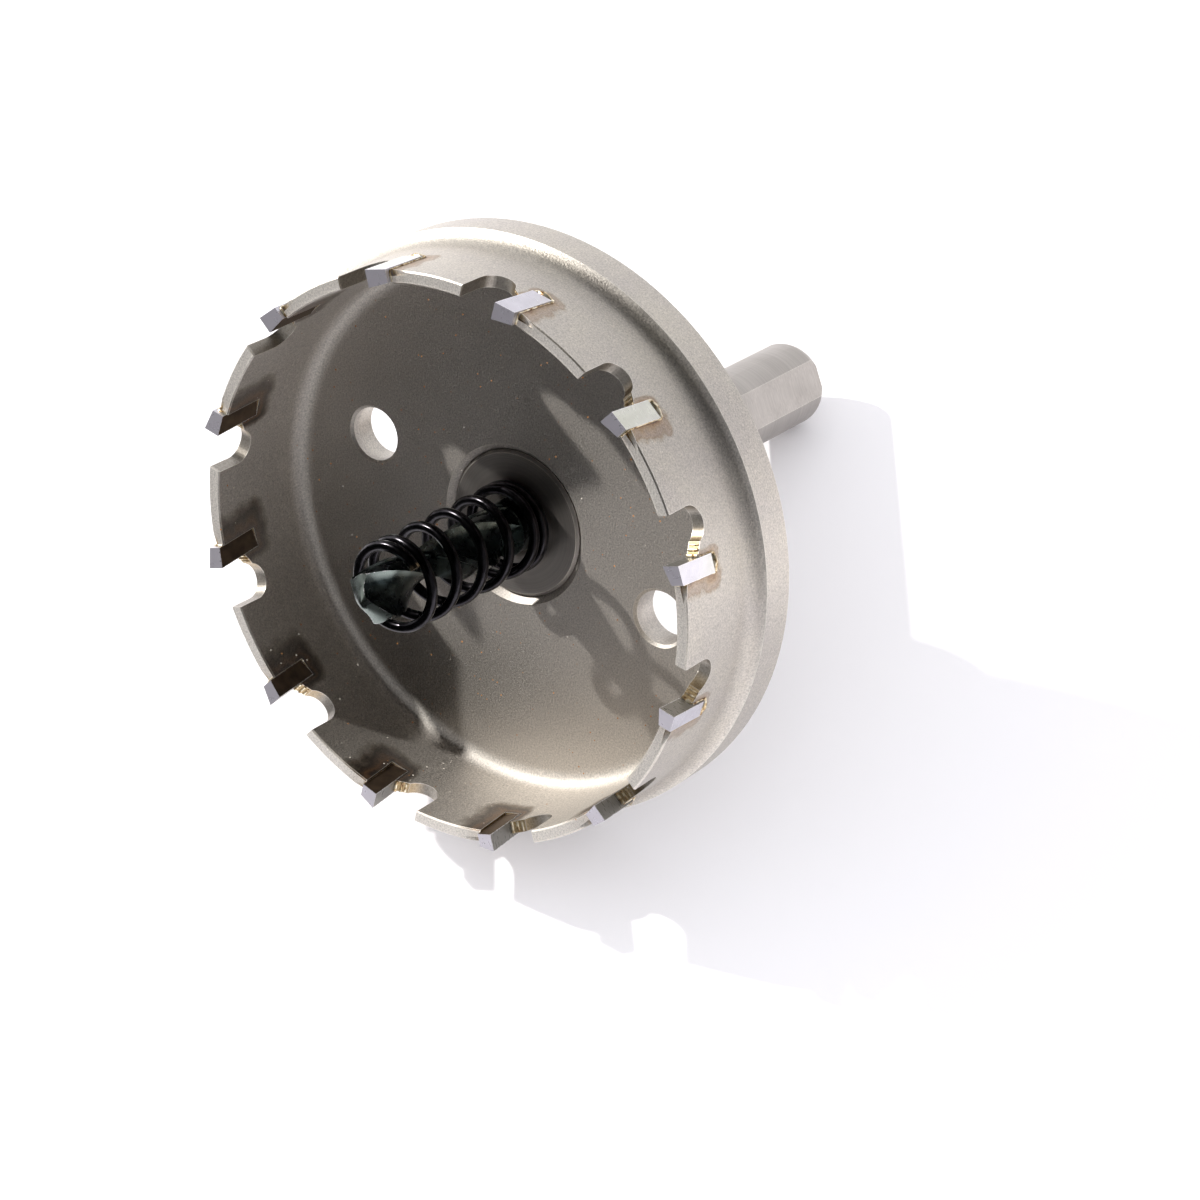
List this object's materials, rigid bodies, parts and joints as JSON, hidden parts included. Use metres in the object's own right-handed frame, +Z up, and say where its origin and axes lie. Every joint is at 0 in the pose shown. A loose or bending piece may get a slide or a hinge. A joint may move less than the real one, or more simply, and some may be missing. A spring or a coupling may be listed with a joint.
{
  "type": "hole saw",
  "caption": "Carbide-tipped hole saw: shallow flanged cup with tipped rim, central pilot drill inside an ejector spring, and a three-flat shank.",
  "frame": {"origin": "centre of the bounding box at its base, on the bench", "axes": "+Z up; the saw lies on its flange edge and shank flat, its mouth facing +X and up"},
  "size_m": [0.0788, 0.066, 0.0653],
  "materials": {
    "cup_steel": "bead-blasted and nickel plated, satin, with heat tint at the brazed tips",
    "carbide": "fine ground tungsten carbide",
    "arbor_steel": "turned and ground bright steel",
    "drill_oxide": "black oxide on ground high-speed steel",
    "spring_black": "gloss black over drawn spring wire",
    "screw_oxide": "black oxide"
  },
  "bodies": {
    "root": {"cutter_body": "cup_steel", "carbide_tip_01": "carbide", "carbide_tip_02": "carbide", "carbide_tip_03": "carbide", "carbide_tip_04": "carbide", "carbide_tip_05": "carbide", "carbide_tip_06": "carbide", "carbide_tip_07": "carbide", "carbide_tip_08": "carbide", "carbide_tip_09": "carbide", "carbide_tip_10": "carbide", "carbide_tip_11": "carbide", "carbide_tip_12": "carbide", "arbor": "arbor_steel", "pilot_drill": "drill_oxide", "ejector_spring": "spring_black", "drill_set_screw": "screw_oxide"}
  },
  "joints": []
}
